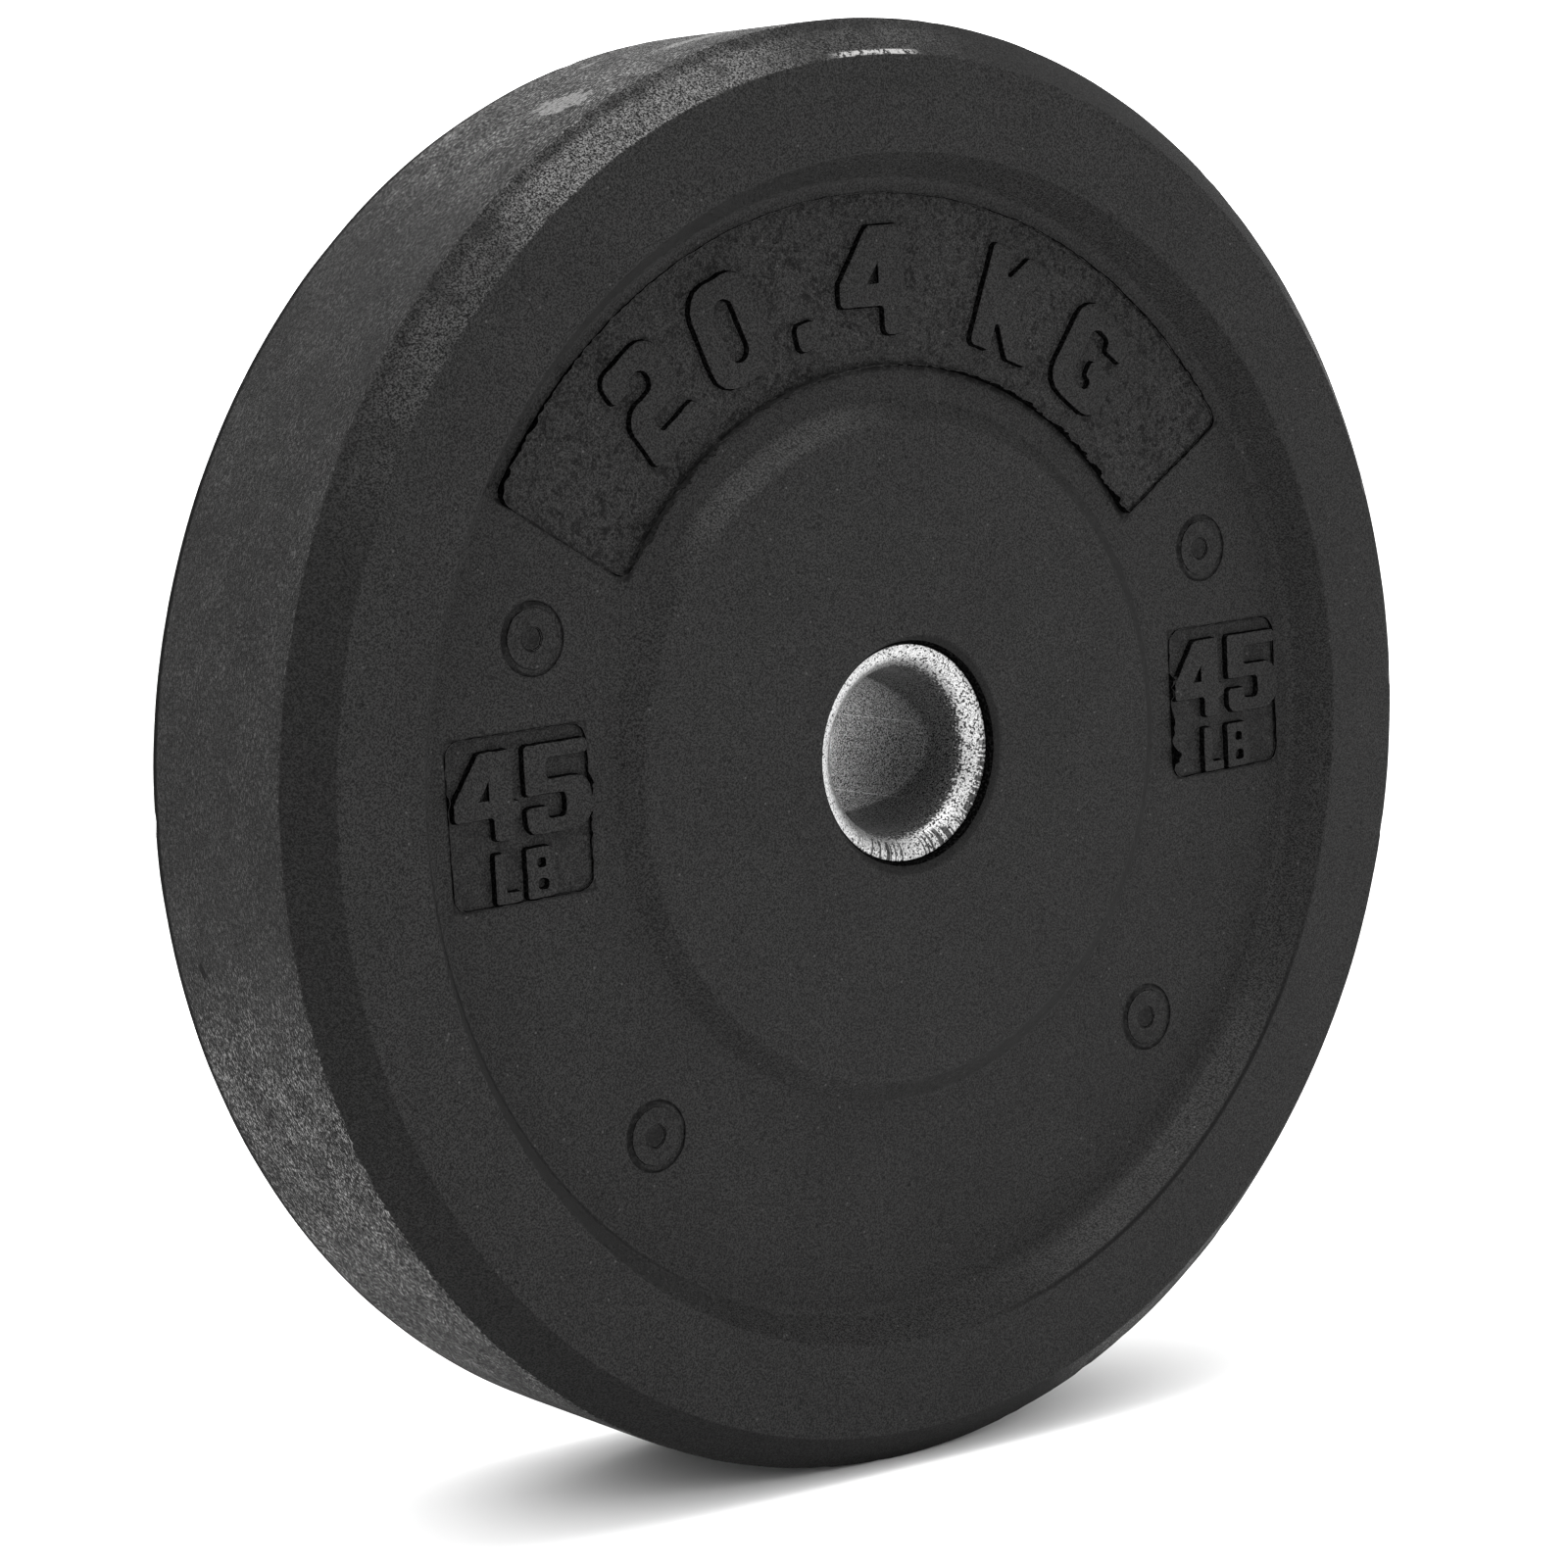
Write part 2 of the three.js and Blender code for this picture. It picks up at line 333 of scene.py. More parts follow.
def step_section(start, stop, first, last, draft, spare):
    """A step between two half thicknesses, with its first corner rounded outwards and its last inwards."""
    way = math.copysign(1, stop - start)
    return [
        (first, start - way * spare), (first, start),
        *quarter(first, 0, start, start + way * first, False),
        (-draft, stop - way * last),
        *quarter(-draft, -draft - last, stop - way * last, stop, True),
    ]


def side_outline(side, step=OUTLINE_STEP):
    """The square panel on the left, for side -1, or on the right, for side 1."""
    half, x = SIDE_PANEL_SIZE / 2, side * SIDE_PANEL_RADIUS
    corners = [(x - half, -half), (x + half, -half), (x + half, half), (x - half, half)]
    return Outline([(*corner, SIDE_PANEL_CORNER) for corner in corners], step)


def sunk_parts(bm, back):
    """Cutters for all that is sunk in the web of one face."""
    panel = step_section(WEB_HALF, POCKET_FLOOR, first=0.2, last=0.3, draft=0.25, spare=1)
    loft(bm, [ArcOutline()], panel, back, CRUMBLE)
    for side in (-1, 1):
        loft(bm, [side_outline(side)], panel, back, CRUMBLE)
    mark = step_section(WEB_HALF, WEB_HALF - STUD_DEPTH, first=0.3, last=0.4, draft=0.25, spare=1)
    for angle in STUD_ANGLES:
        x, y = STUD_RADIUS * math.cos(angle), STUD_RADIUS * math.sin(angle)
        loft(bm, [Round(x, y, STUD_DOT)], mark, back, CRUMBLE)
        groove(bm, x, y, back)


def groove(bm, x, y, back):
    """A ring cutter with a round bottom."""
    steps, section_steps = 72, 10
    middle, half_width = STUD_OUTER - STUD_GROOVE / 2, STUD_GROOVE / 2
    section = []
    for k in range(section_steps + 1):
        a = math.pi * k / section_steps
        section.append((middle + half_width * math.cos(a), WEB_HALF - STUD_DEPTH * math.sin(a)))
    section += [(middle - half_width, WEB_HALF + 0.8), (middle + half_width, WEB_HALF + 0.8)]
    rings = []
    for t in round_turn(steps):
        ring = []
        for radius, half in section:
            point = crumbled(Vector((x + radius * math.cos(t), y + radius * math.sin(t))), CRUMBLE)
            ring.append(bm.verts.new(on_face(point, half, back)))
        rings.append(ring)
    close_rings(bm, rings)


def ragged(point):
    """An uneven share, mostly from 0.4 to 1.6, that changes over a millimetre or two."""
    broad = noise.noise(Vector((point.x / 5, point.y / 5, 4.5)))
    coarse = noise.noise(Vector((point.x / 1.4, point.y / 1.4, 2.5)))
    fine = noise.noise(Vector((point.x / 0.5, point.y / 0.5, 8.5)))
    return max(0.15, 1 + 0.8 * broad + 0.8 * coarse + 0.3 * fine)


def arc_flash(point):
    """How high the fin stands round the long panel."""
    radius, angle = point.length, math.atan2(point.x, point.y)
    share = min(1, max(0, -angle / ARC_HALF_ANGLE)) ** 3
    inner = min(1, max(0, (ARC_INNER_RADIUS + 5 - radius) / 4))
    outer = min(1, max(0, (radius - ARC_OUTER_RADIUS + 7) / 5))
    height = FLASH_HEIGHT + (ARC_FLASH_INNER - FLASH_HEIGHT) * inner
    if angle < -ARC_HALF_ANGLE + 0.02 and inner == outer == 0:
        return 0.1
    return height + (FLASH_HEIGHT + (ARC_FLASH_OUTER_LEFT - FLASH_HEIGHT) * share - height) * outer


def side_flash(side, point):
    """How high the fin stands round a square panel."""
    spot = point - Vector((side * SIDE_PANEL_RADIUS, 0))
    height = FLASH_HEIGHT
    for x, y, half_length, tall in SIDE_PANEL_TEARS[side]:
        near = (spot - Vector((x, y))).length / half_length
        height = max(height, tall * min(1, max(0, 2.2 - 2 * near)))
    return height


def flash(bm, outline, height_at, back):
    """A thin wall with a torn top along an outline, rooted in the panel's floor."""
    root = POCKET_FLOOR - 0.4
    rings = []
    for a, b in zip(outline.at(-FLASH_WIDTH / 2), outline.at(FLASH_WIDTH / 2)):
        middle = (a + b) / 2
        top = WEB_HALF + height_at(middle) * ragged(middle)
        lean = (b - a) * 0.22
        across, upwards = Vector((*middle, 7)) / 3, Vector((*middle, 17)) / 3
        wander = Vector((noise.noise(across), noise.noise(upwards))) * 0.35
        corners = [(a, root), (a + lean + wander, top), (b - lean + wander, top), (b, root)]
        rings.append([bm.verts.new(on_face(point, half, back)) for point, half in corners])
    close_rings(bm, rings)


def flash_parts(bm, back):
    """The fins round all three panels of one face."""
    flash(bm, ArcOutline(FLASH_STEP), arc_flash, back)
    for side in (-1, 1):
        flash(bm, side_outline(side, FLASH_STEP), partial(side_flash, side), back)


def on_axes(right, up, left, foot, point):
    """A figure's point, moved and laid along two directions of the face."""
    return up * (foot + point.y) + right * (left + point.x)


def figure_outlines(letter, scale, place):
    """The outlines of one figure, scaled and placed."""
    loops = (FIGURES[letter][1], *FIGURES[letter][2])
    sized = [[[part * scale for part in corner] for corner in loop] for loop in loops]
    return [Outline(corners, place=place) for corners in sized]


def line_width(text, scale, space):
    return sum(FIGURES[c][0] * scale for c in text) + space * (len(text) - 1)


def arc_figures(bm, back):
    """The raised figures of the long curved panel, each square to the plate's radius."""
    scale = ARC_FIGURE_HEIGHT / 100
    middle = ARC_FIGURE_FOOT + ARC_FIGURE_HEIGHT / 2
    along = -line_width(ARC_FIGURES, scale, ARC_FIGURE_SPACE) / 2
    section = step_section(POCKET_FLOOR, FIGURE_TOP, first=0.3, last=0.8, draft=0.2, spare=0.6)
    for letter in ARC_FIGURES:
        width = FIGURES[letter][0] * scale
        angle = (along + width / 2) / middle
        up = Vector((math.sin(angle), math.cos(angle)))
        right = Vector((math.cos(angle), -math.sin(angle)))
        if letter != " ":
            place = partial(on_axes, right, up, -width / 2, ARC_FIGURE_FOOT)
            loft(bm, figure_outlines(letter, scale, place), section, back, ARC_FIGURE_CRUMBLE)
        along += width + ARC_FIGURE_SPACE


def panel_line(bm, text, height, foot, x, back):
    """A straight line of raised figures, centred at x."""
    scale = height / 100
    left = x - line_width(text, scale, PANEL_FIGURE_SPACE) / 2
    section = step_section(POCKET_FLOOR, FIGURE_TOP, first=0.2, last=0.5, draft=0.2, spare=0.6)
    for letter in text:
        place = partial(on_axes, Vector((1, 0)), Vector((0, 1)), left, foot)
        loft(bm, figure_outlines(letter, scale, place), section, back, PANEL_FIGURE_CRUMBLE)
        left += FIGURES[letter][0] * scale + PANEL_FIGURE_SPACE


def raised_parts(bm, back):
    """All that stands up from the sunk floors of one face."""
    arc_figures(bm, back)
    for side in (-1, 1):
        for *line, shift in PANEL_LINES:
            panel_line(bm, *line, side * SIDE_PANEL_RADIUS + shift, back)


def rubber_plugs(bm):
    """The plugs of rubber through the anchor disc's holes."""
    for t in round_turn(ANCHOR_HOLE_COUNT):
        middle = Vector((ANCHOR_HOLE_CIRCLE * math.cos(t), 0, ANCHOR_HOLE_CIRCLE * math.sin(t))) * MM
        place = Matrix.Translation(middle) @ Matrix.Rotation(math.pi / 2, 4, "X")
        radius = (ANCHOR_HOLE_RADIUS - GAP) * MM
        bmesh.ops.create_cone(
            bm, cap_ends=True, segments=32, radius1=radius, radius2=radius,
            depth=2 * (ANCHOR_HALF + 1) * MM, matrix=place,
        )


def softened(points):
    """A finer line through a section's (radius, half, round) corners, rounded there."""
    line = [Vector(points[0][:2])]
    for before, (x, y, size), after in zip(points, points[1:], points[2:]):
        here = Vector((x, y))
        a = (Vector(before[:2]) - here).normalized()
        b = (Vector(after[:2]) - here).normalized()
        if size == 0:
            line.append(here)
            continue
        half_angle = math.acos(max(-1, min(1, a.dot(b)))) / 2
        reach = size / math.tan(half_angle)
        start, end = here + a * reach, here + b * reach
        centre = here + (a + b).normalized() * (size / math.sin(half_angle))
        first, last = start - centre, end - centre
        turn = first.angle_signed(last)
        steps = max(3, round(abs(turn) * 5))
        for k in range(steps + 1):
            line.append(centre + Matrix.Rotation(-turn * k / steps, 2) @ first)
    line.append(Vector(points[-1][:2]))
    return line


def divided(line, longest):
    """The line with every straight longer than longest cut into equal steps."""
    points = []
    for a, b in zip(line, line[1:]):
        steps = max(1, math.ceil((b - a).length / longest))
        points += [a.lerp(b, k / steps) for k in range(steps)]
    return points + [line[-1]]


def both_halves(upper):
    """A section's upper half, and the lower half that mirrors it."""
    return upper + [Vector((p.x, -p.y)) for p in reversed(upper[:-1])]


def turned(bm, outline, steps):
    """A ring turned about Y from a closed outline of (radius, y) points, in millimetres."""
    rings = []
    for t in round_turn(steps):
        points = [Vector((p.x * math.cos(t), p.y, p.x * math.sin(t))) * MM for p in outline]
        rings.append([bm.verts.new(point) for point in points])
    close_rings(bm, rings)


def placed(name, data):
    obj = bpy.data.objects.new(name, data)
    bpy.context.scene.collection.objects.link(obj)
    return obj


def finished(name, bm):
    """An object made from the mesh, with its faces turned outwards."""
    bmesh.ops.recalc_face_normals(bm, faces=bm.faces)
    mesh = bpy.data.meshes.new(name)
    bm.to_mesh(mesh)
    bm.free()
    return placed(name, mesh)


def combine(obj, other, operation):
    """Joins the object with another, or cuts it, and deletes the other."""
    modifier = obj.modifiers.new("combine", "BOOLEAN")
    modifier.operation = operation
    modifier.solver = "EXACT"
    modifier.object = other
    shaped = bpy.data.meshes.new_from_object(obj.evaluated_get(bpy.context.evaluated_depsgraph_get()))
    obj.modifiers.remove(modifier)
    obj.data = shaped
    bpy.data.objects.remove(other)


def smooth(obj):
    """Smooth shading but for sharp edges, with large flat faces kept flat."""
    obj.data.polygons.foreach_set("use_smooth", [True] * len(obj.data.polygons))
    obj.data.set_sharp_from_angle(angle=SHARP_ANGLE)
    weighted = obj.modifiers.new("weighted_normals", "WEIGHTED_NORMAL")
    weighted.keep_sharp = True


# The rubber

def rubber_section():
    """The rubber's section, a closed outline of (radius, y) points."""
    face = [
        (HOLE_RADIUS, 20, 0),
        (HOLE_RADIUS, BOSS_HALF, 2.1),
        (BOSS_TOP_RADIUS, BOSS_HALF, 2),
        (BOSS_FOOT_RADIUS, WEB_HALF, 2.5),
        (RECESS_FOOT_RADIUS, WEB_HALF, 4),
        (RIM_INNER_RADIUS, RIM_HALF, 1),
        (BEVEL_RADIUS, RIM_HALF, 0.8),
        (PLATE_RADIUS, TREAD_HALF, 1.6),
        (PLATE_RADIUS, 0, 0),
    ]
    side = ANCHOR_HALF + GAP
    fillet = WELD_LEG + 2 * GAP
    cavity = [
        Vector((ANCHOR_RADIUS + GAP, side)),
        Vector((HOLE_RADIUS + fillet, side)),
        Vector((HOLE_RADIUS, side + fillet)),
    ]
    return both_halves([*cavity, *divided(softened(face), 7)])


def worn(bm):
    """Wears the rubber's outer edges: shallow waves, and a nick here and there."""
    edges = ((PLATE_RADIUS, TREAD_HALF), (BEVEL_RADIUS, RIM_HALF))
    for vert in bm.verts:
        place = vert.co / MM
        radius = math.hypot(place.x, place.z)
        off = min(math.hypot(radius - edge_radius, abs(place.y) - half) for edge_radius, half in edges)
        if off > EDGE_WEAR_REACH:
            continue
        wave = 0.5 + 0.5 * noise.noise(place / 17)
        nick = max(0, noise.noise(place / 6 + Vector((31, 0, 0))) - 0.42) * 4
        depth = (EDGE_WAVE * wave + EDGE_NICK * min(1, nick)) * (1 - off / EDGE_WEAR_REACH)
        inwards = Vector((-place.x / radius, -math.copysign(1, place.y), -place.z / radius)).normalized()
        vert.co += inwards * depth * MM


def make_rubber():
    bm = bmesh.new()
    turned(bm, rubber_section(), BODY_STEPS)
    worn(bm)
    body = finished("rubber_plate", bm)
    cutters, fins, adders = bmesh.new(), bmesh.new(), bmesh.new()
    for back in (False, True):
        sunk_parts(cutters, back)
        flash_parts(fins, back)
        raised_parts(adders, back)
    rubber_plugs(adders)
    combine(body, finished("cutters", cutters), "DIFFERENCE")
    combine(body, finished("fins", fins), "UNION")
    combine(body, finished("adders", adders), "UNION")
    smooth(body)
    return body


# The steel sleeve

def sleeve_section():
    """The sleeve's section, with both mouths rounded over."""
    land, mouth_length, steps = 0.8, 11.5, 16
    reach = SLEEVE_RADIUS - land - BORE_RADIUS
    mouth = []
    for k in range(steps + 1):
        t = math.pi / 2 * k / steps
        radius = BORE_RADIUS + reach * (1 - math.sin(t))
        mouth.append(Vector((radius, SLEEVE_HALF - mouth_length * (1 - math.cos(t)))))
    edge = 0.25
    outside = [Vector((SLEEVE_RADIUS, SLEEVE_HALF - edge)), Vector((SLEEVE_RADIUS - edge, SLEEVE_HALF))]
    bore = divided([mouth[-1], Vector((BORE_RADIUS, 0))], 5)[1:]
    return both_halves([*outside, *mouth, *bore])


def chattered(bm):
    """Marks both ends with the lathe's chatter: short, uneven radial ridges."""
    for vert in bm.verts:
        place = vert.co / MM
        radius = math.hypot(place.x, place.z)
        across = (SLEEVE_RADIUS - 0.1 - radius) / CHATTER_WIDTH
        if abs(place.y) < SLEEVE_HALF - 3 or not 0 < across < 1:
            continue
        way = Vector((place.x, 0, place.z)) / radius
        ridge = noise.noise(way * 42 + Vector((0, 5, 0))) + 0.6 * noise.noise(way * 95)
        patch = 0.5 + 0.9 * noise.noise(way * 3 + Vector((2, 0, 1)))
        depth = CHATTER_DEPTH * max(0, ridge) * max(0, patch) * math.sin(math.pi * across) ** 0.5
        vert.co.y -= math.copysign(depth, place.y) * MM


def make_sleeve():
    bm = bmesh.new()
    turned(bm, sleeve_section(), SLEEVE_STEPS)
    chattered(bm)
    sleeve = finished("steel_sleeve", bm)
    smooth(sleeve)
    return sleeve


# Materials: graphs of nodes

# The levels between which most of a noise lies
NOISE_LOW, NOISE_HIGH = 0.36, 0.64


class Graph:
    """A tree of nodes, with functions that add to it and return sockets."""

    def __init__(self, tree):
        self.tree = tree

    def node(self, kind, **settings):
        node = self.tree.nodes.new("ShaderNode" + kind)
        for name, value in settings.items():
            setattr(node, name, value)
        return node

    def feed(self, socket, value):
        if isinstance(value, bpy.types.NodeSocket):
            self.tree.links.new(value, socket)
        else:
            socket.default_value = value

    def fed(self, node, values, output=0):
        """The node's output, with the values fed to its first inputs."""
        for socket, value in zip(node.inputs, values):
            self.feed(socket, value)
        return node.outputs[output]

    def math(self, operation, *values):
        return self.fed(self.node("Math", operation=operation), values)

    def vector(self, operation, *values, output="Vector"):
        return self.fed(self.node("VectorMath", operation=operation), values, output)

    def plus(self, *values):
        return reduce(partial(self.math, "ADD"), values)

    def minus(self, a, b):
        return self.math("SUBTRACT", a, b)

    def times(self, *values):
        return reduce(partial(self.math, "MULTIPLY"), values)

    def most(self, *values):
        return reduce(partial(self.math, "MAXIMUM"), values)

    def absolute(self, value):
        return self.math("ABSOLUTE", value)

    def scaled(self, vector, factors):
        return self.vector("MULTIPLY", vector, factors)

    def length(self, vector):
        return self.vector("LENGTH", vector, output="Value")

    def dot(self, vector, direction):
        return self.vector("DOT_PRODUCT", vector, direction, output="Value")

    def split(self, vector):
        node = self.node("SeparateXYZ")
        self.feed(node.inputs[0], vector)
        return node.outputs

    def between(self, value, low, high, to_low=0, to_high=1):
        """A smooth step from to_low to to_high, as the value goes from low to high."""
        node = self.node("MapRange", interpolation_type="SMOOTHSTEP")
        return self.fed(node, (value, low, high, to_low, to_high), "Result")

    def fall(self, value, low, high, top=1):
        """A smooth step down from top to 0."""
        return self.between(value, low, high, top, 0)

    def near(self, value, inner, outer, top=1):
        """top where the value is within inner of 0, and 0 beyond outer."""
        return self.fall(self.absolute(value), inner, outer, top)

    def spread(self, noise, low, high):
        """A noise stretched to run from low to high."""
        return self.between(noise, NOISE_LOW, NOISE_HIGH, low, high)

    def blend(self, share, a, b):
        """Number a turned into b by share."""
        return self.plus(a, self.times(share, self.minus(b, a)))

    def grey(self, level, warmth=0):
        """A near-neutral colour of the level."""
        shares = (1 + warmth, 1, 1 - warmth)
        return self.fed(self.node("CombineColor"), [self.times(level, share) for share in shares])

    def texture(self, kind, vector, size, **settings):
        """A texture, turned so that no lattice of it lines up with the plate's flat faces."""
        askew = self.node("VectorRotate", rotation_type="EULER_XYZ")
        self.feed(askew.inputs["Rotation"], (0.7, 0.45, 1.1))
        self.feed(askew.inputs["Vector"], vector)
        node = self.node(kind, **settings)
        self.feed(node.inputs["Vector"], askew.outputs[0])
        self.feed(node.inputs["Scale"], 1 / size)
        return node

    def noise(self, vector, size, detail=2, roughness=0.5):
        """Noise from 0 to 1 whose lumps are about size millimetres across."""
        node = self.texture("TexNoise", vector, size)
        self.feed(node.inputs["Detail"], detail)
        self.feed(node.inputs["Roughness"], roughness)
        return node.outputs["Fac"]

    def crumbs(self, vector, size):
        """The distance from the nearest crumb's middle, and the crumb's own number from 0 to 1."""
        node = self.texture("TexVoronoi", vector, size)
        return node.outputs["Distance"], self.split(node.outputs["Color"])[0]

    def cracks(self, vector, size):
        """The distance from the nearest crack, as a share of the size."""
        return self.texture("TexVoronoi", vector, size, feature="DISTANCE_TO_EDGE").outputs["Distance"]


class Finish(Graph):
    """The graph of a new material, where place is the point of the surface in millimetres."""

    def __init__(self, name):
        self.material = bpy.data.materials.new(name)
        self.material.use_nodes = True
        super().__init__(self.material.node_tree)
        self.tree.nodes.clear()
        self.shader = self.node("BsdfPrincipled")
        self.feed(self.node("OutputMaterial").inputs["Surface"], self.shader.outputs[0])
        self.place = self.scaled(self.node("TexCoord").outputs["Object"], (1 / MM, 1 / MM, 1 / MM))
        self.y = self.split(self.place)[1]
        self.off_axis = self.scaled(self.place, (1, 0, 1))
        self.radius = self.length(self.off_axis)

    def put(self, name, value):
        self.feed(self.shader.inputs[name], value)

    def band(self, start, full, fade, stop):
        """1 from the radius full to fade, and 0 within start and beyond stop."""
        return self.times(self.between(self.radius, start, full), self.fall(self.radius, fade, stop))

    def bumped(self, height, depth):
        """The material, with bumps of a height from 0 to 1, depth millimetres deep."""
        node = self.node("Bump")
        for name, value in (("Strength", 1), ("Distance", depth * MM), ("Height", height)):
            self.feed(node.inputs[name], value)
        self.put("Normal", node.outputs["Normal"])
        return self.material


# Levels of grey, as shares of the light that a surface returns
FACE_GREY = 0.0135
TREAD_GREY = 0.02
BEVEL_GREY = 0.0111
PIT_GREY = 0.001
FLECK_GREY = 0.08
SCUFF_GREY = 0.16
LIP_GLINT_GREY = 0.3
GOUGE_GREY = 0.006
STEEL_GREY = 0.56
RUBBER_SPECULAR = 0.09
# How much paler the bevel is where it is rubbed bare and where painted glints catch the light
BARE_GLINT_GAIN = 5.6

# Scuffs on the tread: angle, place along the axis, half length, half width and strength
TREAD_SCUFFS = [
    (119.6, -11, 8, 10.5, 1), (104, -5, 19, 4.5, 1), (111, 18, 5, 2, 0.8),
    (236, 8, 9, 3, 0.4), (300, 15, 14, 7, 0.6), (318, -18, 8, 3, 0.6),
    (20, -6, 12, 6, 0.6), (47, 21, 10, 4, 0.5), (78, -19, 7, 3, 0.6),
]
# A dark gouge in the tread, given as the scuffs are
TREAD_GOUGE = (193.9, 19, 2.2, 1.5)
# Worn stretches, each as the angles of its middle and its half length and its strength: of the roughened
# tread, of the bevel where its skin is rubbed off and painted glints lie, and of its cracks
TREAD_WEAR = [(112, 27, 0.95), (218, 31, 1), (300, 26, 0.8), (25, 30, 0.7)]
BEVEL_WEAR_GLINTS = [
    (119, 21, 0.9), (131, 32, 0.25), (100, 18, 0.25), (300, 16, 0.6), (30, 14, 0.5),
]
BEVEL_CRACKS = [(118, 44, 1)]
# The same for the painted sheen on the slope of the boss and on that of the dish
BOSS_SHEEN = [(120, 29, 0.7), (255, 14, 0.15)]
RECESS_SHEEN = [(309, 30, 0.5), (175, 12, 0.1)]
# Painted shade lines where the slope meets the rim face, and where it meets the web
RIM_SHADE_LINES = [(310, 42, 0.8)]
FOOT_SHADE_LINES = [(215, 40, 0.6)]
# A painted glint along the inner edge of the front bevel: its middle, as an angle, and its half length
LIP_GLINT_ANGLE = 95.5
LIP_GLINT_HALF = 19


def turned_place(g, degrees):
    """How far a point lies beside the angle, and how far out that way."""
    angle = math.radians(degrees)
    along = g.dot(g.place, (-math.sin(angle), 0, math.cos(angle)))
    outwards = g.dot(g.place, (math.cos(angle), 0, math.sin(angle)))
    return along, outwards


def stretches(g, places, radius):
    """How strongly a point at the radius lies within a list of stretches round the plate, used for wear,
    painted sheen and painted shade.
    """
    shares = []
    for middle, half, strength in places:
        along, outwards = turned_place(g, middle)
        reach = radius * math.sin(math.radians(half))
        shares.append(g.times(g.near(along, 0.4 * reach, reach, strength), g.between(outwards, 0, 40)))
    return g.most(*shares)


def tread_spot(g, degrees, middle, half_length, half_width):
    """1 inside an uneven oval patch on the tread, and 0 outside."""
    along, outwards = turned_place(g, degrees)
    a = g.math("POWER", g.times(along, 1 / half_length), 2)
    b = g.math("POWER", g.times(g.minus(g.y, middle), 1 / half_width), 2)
    reach = g.plus(a, b, g.times(g.minus(g.lumps, 0.5), 4))
    return g.times(g.fall(reach, 0.7, 1), g.between(outwards, 0, 10))


def rubber_graph():
    """The rubber's graph, with its grain and the zones of its surface."""
    g = Finish("crumb_rubber")
    g.depth = g.absolute(g.y)

    # Grain of every size
    g.dust = g.noise(g.place, 0.4, 1, 0.6)
    g.fine = g.noise(g.place, 0.55, 1, 0.6)
    g.grain = g.noise(g.place, 1.4, 2, 0.65)
    g.lumps = g.noise(g.place, 3.2, 2, 0.6)
    g.patches = g.noise(g.place, 11, 2, 0.6)
    g.cloud = g.noise(g.place, 30, 2, 0.5)
    g.fibres = g.noise(g.scaled(g.place, (0.35, 1, 0.35)), 0.45, 1, 0.6)
    g.crumb, g.crumb_own = g.crumbs(g.place, 1.5)

    # The tread and the bevel, with uneven borders
    wander = g.times(g.minus(g.grain, 0.5), 0.9)
    tread_radius = g.plus(g.radius, g.times(wander, 0.3))
    g.tread = g.between(tread_radius, PLATE_RADIUS - 0.5, PLATE_RADIUS - 0.2)
    g.outside = g.between(g.plus(g.radius, wander), BEVEL_RADIUS - 0.2, BEVEL_RADIUS + 0.2)
    g.bevel = g.minus(g.outside, g.tread)
    g.ragged_radius = g.plus(g.radius, g.times(wander, 0.4))

    # The floors of the long panel and the square ones, and the hollows in the long one
    g.from_inner, g.from_outer, g.from_end, g.in_square = face_drawing(g)
    floor = g.fall(g.depth, POCKET_FLOOR + 0.35, POCKET_FLOOR + 0.9)
    in_long = g.math("MINIMUM", g.math("MINIMUM", g.from_inner, g.from_outer), g.from_end)
    g.open_crumb = g.times(g.between(in_long, -0.2, 0.4), floor)
    g.square = g.times(g.between(g.in_square, -0.2, 0.4), floor)
    g.border = g.times(g.fall(g.from_outer, 1, 9), g.open_crumb)
    hollow = g.times(g.fall(g.lumps, 0.42, 0.5), g.between(g.grain, 0.4, 0.6, 1, 0.3))
    g.hollow = g.times(hollow, g.most(g.between(g.patches, 0.4, 0.58, 0.25, 1), g.border))

    # Where the bevel is rubbed and carries painted glints, where it is cracked, and where the tread is
    # worn and raw
    g.rubbed = stretches(g, BEVEL_WEAR_GLINTS, PLATE_RADIUS)
    scales = g.cracks(g.vector("ADD", g.place, g.times(g.lumps, 8)), 4.5)
    cracked = g.between(g.plus(g.patches, g.times(g.grain, 0.5)), 0.74, 0.8)
    reach = g.between(stretches(g, BEVEL_CRACKS, PLATE_RADIUS), 0, 0.5)
    g.crack = g.times(g.fall(scales, 0.02, 0.05), cracked, reach)
    g.worn_tread = stretches(g, TREAD_WEAR, PLATE_RADIUS)
    g.raw = g.plus(0.25, g.times(g.worn_tread, 0.75))
    return g


def face_drawing(g):
    """How far a point lies inside the long panel's arcs and ends, and in a square panel."""
    cos, sin = math.cos(FACE_TURN), math.sin(FACE_TURN)
    u = g.dot(g.place, (cos, 0, sin))
    v = g.dot(g.place, (-sin, 0, cos))
    from_end = g.times(g.minus(ARC_HALF_ANGLE, g.absolute(g.math("ARCTAN2", u, v))), g.radius)
    off_x = g.absolute(g.minus(g.absolute(u), SIDE_PANEL_RADIUS))
    in_square = g.minus(SIDE_PANEL_SIZE / 2, g.most(off_x, g.absolute(v)))
    return g.minus(g.radius, ARC_INNER_RADIUS), g.minus(ARC_OUTER_RADIUS, g.radius), from_end, in_square


